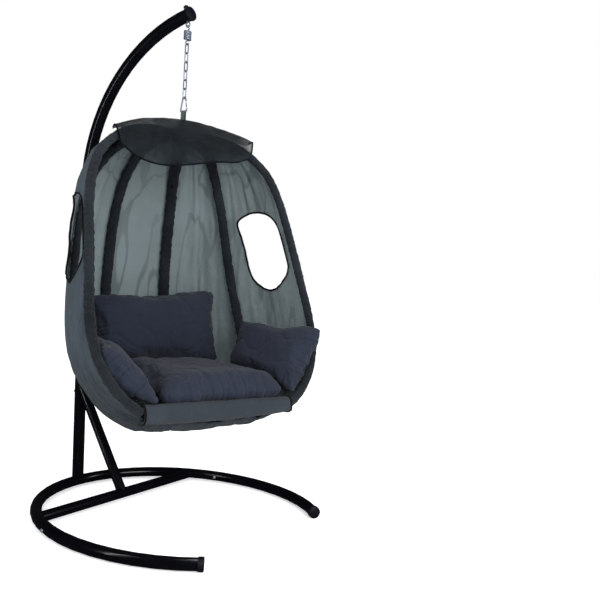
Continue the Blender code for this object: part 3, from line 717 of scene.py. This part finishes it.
def cut_windows(skin):
    """Cuts both side windows, a little larger than the binding's centre line."""
    cutters = []
    for sign in (1, -1):
        outline = window_outline(WINDOW_GAP, 60)
        vertices = [world((sign * CUT_FROM_U, v, z)) for v, z in outline]
        vertices += [world((sign * CUT_TO_U, v, z)) for v, z in outline]
        count = len(outline)
        faces = [tuple(range(count)), tuple(range(2 * count - 1, count - 1, -1))]
        faces += [(i, (i + 1) % count, (i + 1) % count + count, i + count) for i in range(count)]
        cutter = new_object("window_cutter", vertices, faces, None, False)
        cutters.append(cutter)
        hole = skin.modifiers.new("Window", "BOOLEAN")
        hole.operation = "DIFFERENCE"
        hole.object = cutter
        hole.solver = "EXACT"
    applied(skin)
    for cutter in cutters:
        bpy.data.objects.remove(cutter)


SKIN_FROM_S, SKIN_TO_S = 0.34, 17.75


def build_skin():
    """The mesh skin in one sheet from rim to rim, with its windows cut out."""
    rows = np.concatenate([np.linspace(SKIN_FROM_S, 3.0, 26), np.linspace(3.12, SKIN_TO_S, 120)])
    columns = np.linspace(-1.0, 1.0, 150)
    grid = []
    for s in rows:
        limit = edge_degrees(s)
        grid.append([world(skin_point(s, limit * share)) for share in columns])
    skin = grid_object("basket_skin", grid, MATERIALS["mesh_fabric"])
    middle = skin.data.polygons[len(skin.data.polygons) // 2]
    if middle.normal.dot(middle.center - world((0, 0, middle.center.z))) < 0:
        skin.data.flip_normals()
    # The inside gets the lighter copy of the mesh cloth: painted light inside, painted shade outside.
    thicken(skin, SKIN, MATERIALS["mesh_inside"])
    cut_windows(skin)
    piece(skin, "mesh_fabric", "fabric_shell")


def build_window_bindings():
    for sign, side in ((1, "right"), (-1, "left")):
        edge = []
        for v, z in window_outline(0.0, 72):
            p = skin_point(*side_place(v, z))
            edge.append(world((p.x * sign, p.y, p.z)))
        binding = sweep(
            "window_binding_" + side,
            edge,
            lambda i, angle, p: 0.0042 + 0.0005 * noise.noise(p * 130),
            12,
            MATERIALS["piping"],
            closed=True,
        )
        piece(binding, "piping", "window_piping_" + side)


# ---------------------------------------------------------------- gathered sleeves

GATHER_STEP = 0.0055
FLARE_RUN = 0.13  # how far down from its top a sleeve is flared
# Half the width of each sleeve, and its depth's share of that
COVERS = {"inner": (0.0225, 0.62), "outer": (0.0205, 0.68), "rim": (0.0182, 0.84)}


def gathered(name, line, width, replaced, seed, flat, ruffle=0.0030, flare=0.0):
    """A cloth sleeve with gathers: a flat tube whose sides ripple along its length. width is
    half its width, flat its depth's share of that, and flare how much wider its top end is."""
    points = [world(p) for p in resampled(line, GATHER_STEP)]
    frames = []
    for point, (tangent, _, _) in zip(points, frames_along(points)):
        inward = world((0.0, 0.0, MIDDLE_Z)) - point
        inward = (inward - tangent * inward.dot(tangent)).normalized()
        frames.append((tangent, tangent.cross(inward).normalized(), inward))

    def radius(i, angle, p):
        wide = abs(math.cos(angle))
        along = i * GATHER_STEP
        top = 1.0 + flare * math.exp(-((along / FLARE_RUN) ** 2))
        oval = width * flat / math.sqrt((wide * flat / top) ** 2 + 1.0 - wide**2)
        ripple = noise.noise(Vector((along * 62.0, math.cos(angle) * 1.3, seed)))
        crease = noise.noise(Vector((along * 150.0, angle * 0.6, seed + 5.0)))
        slow = noise.noise(Vector((along * 14.0, 0.0, seed + 9.0)))
        return oval + ruffle * (ripple * (0.45 + 0.75 * wide) + 0.55 * crease) + 0.0010 * slow

    sleeve = sweep(name, points, radius, 22, MATERIALS["sleeve_fabric"], frames=frames)
    piece(sleeve, "sleeve_fabric", replaced)


def rib_cover_line(name):
    """The rib's line without its last point; an inner rib's cover sits 5 mm further out."""
    line = rib_line(name)[:-1]
    if name == "outer":
        return line
    return [p + Vector((0.005 * min(i / 4.0, 1.0), 0.0, 0.0)) for i, p in enumerate(line)]


def build_sleeves():
    seed, next_seed = 1.0, 3.1
    for side in ("right", "left"):
        for name in ("inner", "outer"):
            width, flat = COVERS[name]
            line = rib_cover_line(name)
            line = mirrored(line) if side == "left" else line
            cover = "rib_cover_%s_%s" % (name, side)
            gathered(cover, line, width, "rib_sleeve_%s_%s" % (name, side), seed, flat=flat, flare=0.35)
            seed += next_seed
        width, flat = COVERS["rim"]
        line = mirrored(rim_line()) if side == "left" else rim_line()
        gathered("rim_cover_" + side, line, width, "rim_sleeve_" + side, seed, ruffle=0.0026, flat=flat)
        seed += next_seed


# ---------------------------------------------------------------- front band

BAND_HALF = BAR_U + 0.008
BAND_THICKNESS = 0.0016
TAPER_BELOW = -0.014
# The band's section (v, z from the bar's centre): from behind the bar, over its front, to under it
BAND_PROFILE = [
    (0.0175, 0.0205),
    (0.0100, 0.0255),
    (0.0000, 0.0272),
    (-0.0095, 0.0238),
    (-0.0170, 0.0160),
    (-0.0212, 0.0050),
    (-0.0224, -0.0080),
    (-0.0208, -0.0190),
    (-0.0165, -0.0280),
    (-0.0085, -0.0355),
    (0.0030, -0.0400),
    (0.0180, -0.0425),
    (0.0400, -0.0440),
]


def band_taper(u, dz):
    """The band hangs lowest in the middle and draws up towards its ends."""
    if dz > TAPER_BELOW:
        return 1.0
    right = clamped((u / BAR_U - 0.1) / 0.9)
    left = clamped((-u / BAR_U - 0.5) / 0.5)
    deep = min((TAPER_BELOW - dz) / 0.012, 1.0)
    return 1.0 - deep * (0.34 * right**1.6 + 0.10 * left**2)


def build_band():
    knots = padded_knots(BAND_PROFILE)
    fine = [spline_at(knots, t) for t in np.linspace(0, len(BAND_PROFILE) - 1, 45)]
    rows = []
    for u in np.linspace(-BAND_HALF, BAND_HALF, 130):
        row = []
        for k, (dv, dz) in enumerate(fine):
            slack = noise.fractal(Vector((u * 9.0, k * 0.05, 2.0)), 0.8, 2.0, 3) * 0.0018
            sag = noise.noise(Vector((u * 30.0, k * 0.12, 7.0))) * 0.0008
            out = 1.0 + (slack + sag) / 0.024
            row.append(world((u, BAR_V + dv * out, BAR_Z + dz * out * band_taper(u, dz))))
        rows.append(row)
    band = thicken(grid_object("front_band", rows, MATERIALS["band_fabric"]), BAND_THICKNESS)
    applied(band)
    piece(band, "mesh_fabric", "front_bar_sleeve")
    for side, sign in (("right", 1), ("left", -1)):
        end = sign * (BAND_HALF - 0.003)
        edge = []
        for dv, dz in fine[2:-1:2]:
            edge.append(world((end, BAR_V + dv * 1.10, BAR_Z + dz * 1.05 * band_taper(end, dz))))
        seam = sweep("band_seam_" + side, edge, 0.0030, 10, MATERIALS["piping"])
        piece(seam, "piping")


# ---------------------------------------------------------------- hood

HOOD_HALF, HOOD_DROP = 0.285, 0.150
HOOD_TOP_Z = 1.503
HOOD_THICKNESS = 0.0012
HOOD_CREST = 0.35  # the share of the way from back edge to front edge that lies over the crown
# How far the front edge hangs from tip to tip, in shares of HOOD_DROP
HOOD_EDGE = (0.46, 0.92, 1.14, 1.20, 1.14, 1.02, 0.88, 0.74, 0.46)
HOOD_EDGE_KNOTS = padded_knots([(drop,) for drop in HOOD_EDGE])


def hood_point(across, along):
    """The hood's surface: across from tip to tip, along from its back edge to its front edge."""
    lens = 1.0 - across**2
    width = HOOD_HALF * (1.0 - 0.10 * max(along - HOOD_CREST, 0.0) - 0.05 * max(HOOD_CREST - along, 0.0))
    u = width * across
    crown = HOOD_TOP_Z - 0.056 * across**2 - 0.006 * across**6 + 0.020 * max(across, 0.0) ** 3
    if along < HOOD_CREST:
        share = along / HOOD_CREST
        v = 0.075 * (1.0 - share) * lens - 0.035 * share - 0.012 * across**2
        z = crown - 0.020 * (1.0 - share) ** 2 * (0.3 + 0.7 * lens) + 0.004 * share
    else:
        share = (along - HOOD_CREST) / (1.0 - HOOD_CREST)
        v = -0.035 - 0.012 * across**2 - 0.052 * math.sin(share * 1.45) * (0.45 + 0.55 * lens)
        hang = spline_at(HOOD_EDGE_KNOTS, (across + 1.0) / 2.0 * (len(HOOD_EDGE) - 1))[0]
        z = crown + 0.004 - HOOD_DROP * hang * share**1.35
    return Vector((u, v, z))


def build_hood():
    rows = []
    for along in np.linspace(0.0, 1.0, 48):
        row = []
        for across in np.linspace(-1.0, 1.0, 110):
            p = hood_point(across, along)
            wave = noise.fractal(Vector((across * 3.4, along * 1.6, 4.0)), 0.9, 2.0, 3)
            fold = ridge(across * 4.6 + along * 1.5, along * 0.9, 8.0, 2.6)
            p.y -= (wave * 0.0075 + fold**2 * 0.0045) * min(along * 3.0, 1.0)
            p.z += wave * 0.0020
            row.append(world(p))
        rows.append(row)
    hood = thicken(grid_object("hood_cloth", rows, MATERIALS["hood_fabric"]), HOOD_THICKNESS)
    applied(hood)
    piece(hood, "hood_fabric", "hood")


def build_hood_binding():
    """The bound edge, up the left end, along the front and down the right end."""
    left = [hood_point(-0.997, along) for along in np.linspace(0.10, 0.94, 12)]
    front = [hood_point(across, 1.0) for across in np.linspace(-0.992, 0.992, 80)]
    right = [hood_point(0.997, along) for along in np.linspace(0.94, 0.10, 12)]
    binding = sweep(
        "hood_binding",
        resampled([world(p) for p in left + front + right], 0.006),
        lambda i, angle, p: 0.0032 + 0.0004 * noise.noise(p * 120),
        10,
        MATERIALS["piping"],
    )
    piece(binding, "piping", "hood_piping")


# ---------------------------------------------------------------- cushions


def patch(corners, bulge):
    """A bilinear patch through four corners, bent by bulge along its normal."""
    p00, p10, p11, p01 = (Vector(c) for c in corners)
    normal = (p11 - p00).cross(p01 - p10).normalized()

    def surface(a, b):
        x, y = (a + 1) / 2, (b + 1) / 2
        point = p00 * (1 - x) * (1 - y) + p10 * x * (1 - y) + p11 * x * y + p01 * (1 - x) * y
        return point - normal * bulge * (1 - a * a) * (1 - b * b), normal

    return surface


def pad_mesh(name, surface, half_thickness, power, pull, count=32):
    """A pad whose two faces meet at a seam, with sides that pull in between the corners. A high
    power keeps it full nearly to its seam."""
    steps = np.sin(np.linspace(-math.pi / 2, math.pi / 2, count)) * 0.5 + np.linspace(-1, 1, count) * 0.5
    vertices, faces, index = [], [], {}
    for side in (1, -1):
        for i, a in enumerate(steps):
            for j, b in enumerate(steps):
                rim = i in (0, count - 1) or j in (0, count - 1)
                key = (0 if rim else side, i, j)
                if key in index:
                    continue
                pull_a = 1.0 - pull * (1 - b * b)
                pull_b = 1.0 - pull * (1 - a * a)
                corner = 1.0 - 0.075 * (a * b) ** 6
                centre, normal = surface(a * pull_a * corner, b * pull_b * corner)
                fill = (max(1 - abs(a) ** power, 0) * max(1 - abs(b) ** power, 0)) ** 0.5
                index[key] = len(vertices)
                vertices.append(world(centre + normal * half_thickness * fill * side))
    for side in (1, -1):
        for i in range(count - 1):
            for j in range(count - 1):
                corners = []
                for di, dj in ((0, 0), (1, 0), (1, 1), (0, 1)):
                    m, n = i + di, j + dj
                    rim = m in (0, count - 1) or n in (0, count - 1)
                    corners.append(index[(0 if rim else side, m, n)])
                faces.append(tuple(corners if side > 0 else corners[::-1]))
    return new_object(name, vertices, faces, MATERIALS["cushion_fabric"])


GATHER_DEPTH, GATHERS = 0.0036, 3.4
FOLD_DEPTH, FOLD_WIDTH = 0.013, 0.065


def deep_fold(a, b, start, end):
    """How deep a bowed fold from start to end cuts at a and b, which run from -1 to 1 over the pad."""
    (a0, b0), (a1, b1) = start, end
    share = clamped(((a - a0) * (a1 - a0) + (b - b0) * (b1 - b0)) / ((a1 - a0) ** 2 + (b1 - b0) ** 2))
    bow = 0.16 * math.sin(math.pi * share)
    off = math.hypot(a - a0 - (a1 - a0) * share + bow, b - b0 - (b1 - b0) * share - bow)
    return FOLD_DEPTH * math.exp(-((off / FOLD_WIDTH) ** 2)) * math.sin(math.pi * share) ** 0.5


def crease(pad, corners, seed, fold=None):
    """Gathers that run in from the seam, soft dents and, if asked, one deep fold."""
    p00, p10, p11, p01 = (world(c) for c in corners)
    centre = (p00 + p10 + p11 + p01) / 4
    along = ((p10 + p11) - (p00 + p01)) / 4
    across = ((p11 + p01) - (p00 + p10)) / 4
    mesh = pad.data
    normals = [v.normal.copy() for v in mesh.vertices]
    for vertex, normal in zip(mesh.vertices, normals):
        local = vertex.co - centre
        a = local.dot(along) / along.length_squared
        b = local.dot(across) / across.length_squared
        edge = 1.0 - max(abs(a), abs(b))
        run = b if abs(a) > abs(b) else a
        near = math.exp(-((edge / 0.30) ** 2))
        gather = noise.noise(Vector((run * GATHERS, edge * 0.9, seed + (3.0 if abs(a) > abs(b) else 0.0))))
        pucker = ridge(run * GATHERS * 1.7, edge * 0.8, seed + 8.0, 4.0)
        dent = noise.fractal(vertex.co * 6.0 + Vector((seed, 0, 0)), 1.0, 2.0, 3)
        wrinkle = ridge(*(vertex.co * 9.0 + Vector((seed, seed, 0))), 3.0)
        move = near * (gather * 1.4 - pucker**1.5 * 1.5) * GATHER_DEPTH
        move += dent * 0.0080 - wrinkle**4 * 0.0034
        if fold:
            move -= deep_fold(a, b, *fold)
        vertex.co = vertex.co + normal * move
    mesh.update()


PRESSURE, FARTHEST, FRAMES = 4.0, 0.016, 20


def inflate(pad, voxel):
    """Blows the pad up as cloth, then bakes the result with no point moved more than FARTHEST."""
    remesh = pad.modifiers.new("Remesh", "REMESH")
    remesh.mode = "VOXEL"
    remesh.voxel_size = voxel
    applied(pad)
    start = np.array([v.co for v in pad.data.vertices])
    soft = pad.modifiers.new("Cloth", "CLOTH")
    setting = soft.settings
    setting.quality = 5
    setting.mass = 0.3
    setting.use_pressure = True
    setting.uniform_pressure_force = PRESSURE
    setting.tension_stiffness = 12
    setting.compression_stiffness = 12
    setting.bending_stiffness = 0.4
    setting.effector_weights.gravity = 0.0
    soft.point_cache.frame_start = 1
    soft.point_cache.frame_end = FRAMES
    scene = bpy.context.scene
    for f in range(1, FRAMES + 1):
        scene.frame_set(f)
    applied(pad)
    scene.frame_set(1)
    moved = np.array([v.co for v in pad.data.vertices])
    shift = moved - start
    size = np.linalg.norm(shift, axis=1, keepdims=True)
    moved = start + shift * np.minimum(1.0, FARTHEST / np.maximum(size, 1e-9))
    pad.data.vertices.foreach_set("co", moved.astype(np.float32).ravel())
    pad.data.update()


def build_pad(name, node, corners, bulge, half_thickness, power, voxel, seed, pull, fold=None):
    """One pad: corners are its seam's, in the basket's frame."""
    pad = pad_mesh(name, patch(corners, bulge), half_thickness, power, pull)
    inflate(pad, voxel)
    rounder = pad.modifiers.new("Subdivision", "SUBSURF")
    rounder.levels = rounder.render_levels = 1
    applied(pad)
    crease(pad, corners, seed, fold)
    piece(pad, "cushion_fabric", node)


def build_cushions():
    build_pad(
        "seat_pad",
        "seat_cushion",
        [(-0.226, -0.434, 0.526), (0.290, -0.434, 0.532), (0.230, 0.130, 0.542), (-0.218, 0.130, 0.542)],
        bulge=0.012,
        half_thickness=0.058,
        power=4.0,
        voxel=0.007,
        seed=2.0,
        pull=0.030,
        fold=((-0.98, -0.85), (0.05, 0.98)),
    )
    build_pad(
        "back_pad",
        "back_pillow",
        [(-0.262, 0.124, 0.554), (0.296, 0.130, 0.546), (0.296, 0.214, 0.872), (-0.284, 0.222, 0.838)],
        bulge=0.0,
        half_thickness=0.062,
        power=2.8,
        voxel=0.006,
        seed=11.0,
        pull=0.055,
    )
    build_pad(
        "arm_pad_right",
        "arm_cushion_right",
        [(0.290, -0.434, 0.506), (0.436, -0.404, 0.762), (0.326, 0.056, 0.748), (0.228, -0.026, 0.572)],
        bulge=0.018,
        half_thickness=0.046,
        power=3.0,
        voxel=0.005,
        seed=21.0,
        pull=0.045,
    )
    build_pad(
        "arm_pad_left",
        "arm_cushion_left",
        [(-0.220, -0.444, 0.502), (-0.236, -0.026, 0.556), (-0.340, 0.044, 0.700), (-0.416, -0.388, 0.700)],
        bulge=0.018,
        half_thickness=0.044,
        power=2.6,
        voxel=0.005,
        seed=31.0,
        pull=0.060,
    )


dress_nodes()
build_skin()
build_window_bindings()
build_sleeves()
build_band()
build_hood()
build_hood_binding()
build_cushions()


# ---------------------------------------------------------------- studio

CAMERA_AT = Vector((-2.0798, -1.8459, 0.9505)) + SHIFT
FLOOR_HALF = 40.0


def camera():
    """The camera: yaw and pitch turn it, and roll leans it to its side."""
    yaw, pitch, roll = math.radians(-57.087), math.radians(-1.620), math.radians(3.2515)
    ahead = Vector((-math.sin(yaw) * math.cos(pitch), math.cos(yaw) * math.cos(pitch), math.sin(pitch)))
    right = Vector((math.cos(yaw), math.sin(yaw), 0.0))
    up = right.cross(ahead)
    x = right * math.cos(roll) + up * math.sin(roll)
    y = up * math.cos(roll) - right * math.sin(roll)
    data = bpy.data.cameras.new("camera")
    data.sensor_width = 36.0
    data.lens = 43.47
    data.clip_start = 0.05
    obj = bpy.data.objects.new("camera", data)
    place = Matrix((x, y, -ahead)).transposed().to_4x4()
    place.translation = CAMERA_AT
    obj.matrix_world = place
    bpy.context.scene.collection.objects.link(obj)
    bpy.context.scene.camera = obj


def area_light(name, at, target, size, power):
    data = bpy.data.lights.new(name, "AREA")
    data.shape = "RECTANGLE"
    data.size, data.size_y = size
    data.energy = power
    obj = bpy.data.objects.new(name, data)
    obj.location = at
    aim = (Vector(target) - Vector(at)).to_track_quat("-Z", "Y")
    obj.rotation_euler = aim.to_euler()
    bpy.context.scene.collection.objects.link(obj)


def floor():
    """A pale floor that glows a little, and that shiny parts see as dark."""
    n = Nodes("pale_floor")
    tint = n.ramp(n.noise(1.5, 2.0), [(0.2, (0.84, 0.84, 0.85)), (0.8, (0.88, 0.88, 0.89))])
    n.colour(tint)
    n.link(tint, n.shader.inputs["Emission Color"])
    n.set(Roughness=0.7, Emission_Strength=0.55, Specular_IOR_Level=0.1)
    dark = n.add("ShaderNodeBsdfDiffuse")
    dark.inputs["Color"].default_value = (0.02, 0.02, 0.022, 1.0)
    glossy = n.add("ShaderNodeLightPath").outputs["Is Glossy Ray"]
    n.link(n.mixed(glossy, n.shader.outputs[0], dark.outputs[0]), n.output.inputs["Surface"])
    steps = np.linspace(-FLOOR_HALF, FLOOR_HALF, 7)
    obj = grid_object("floor", [[Vector((x, y, 0.0)) for x in steps] for y in steps], n.material)


def studio():
    """White surroundings that shiny parts see as dim, a key lamp, and strips for the highlights."""
    data = bpy.data.worlds.new("studio")
    data.use_nodes = True
    tree = data.node_tree
    back = tree.nodes["Background"]
    back.inputs["Color"].default_value = (1.0, 1.0, 1.0, 1.0)
    dim = tree.nodes.new("ShaderNodeBackground")
    dim.inputs["Color"].default_value = (0.9, 0.93, 1.0, 1.0)
    dim.inputs["Strength"].default_value = 0.02
    path = tree.nodes.new("ShaderNodeLightPath")
    mix = tree.nodes.new("ShaderNodeMixShader")
    tree.links.new(path.outputs["Is Glossy Ray"], mix.inputs[0])
    tree.links.new(back.outputs[0], mix.inputs[1])
    tree.links.new(dim.outputs[0], mix.inputs[2])
    tree.links.new(mix.outputs[0], tree.nodes["World Output"].inputs["Surface"])
    bpy.context.scene.world = data
    bpy.context.scene.view_settings.view_transform = "Standard"
    area_light("key", (-1.3, -3.0, 1.7), (0.0, 0.0, 0.85), (1.8, 1.8), 95)
    area_light("strip_left", (-2.4, 0.6, 1.6), (0.0, 0.1, 0.7), (0.10, 2.2), 14)
    area_light("strip_right", (1.6, -2.6, 1.8), (0.0, 0.1, 0.7), (0.10, 2.2), 14)
    area_light("strip_top", (-0.6, -0.6, 3.4), (0.0, 0.0, 0.4), (0.14, 2.4), 18)


camera()
floor()
studio()
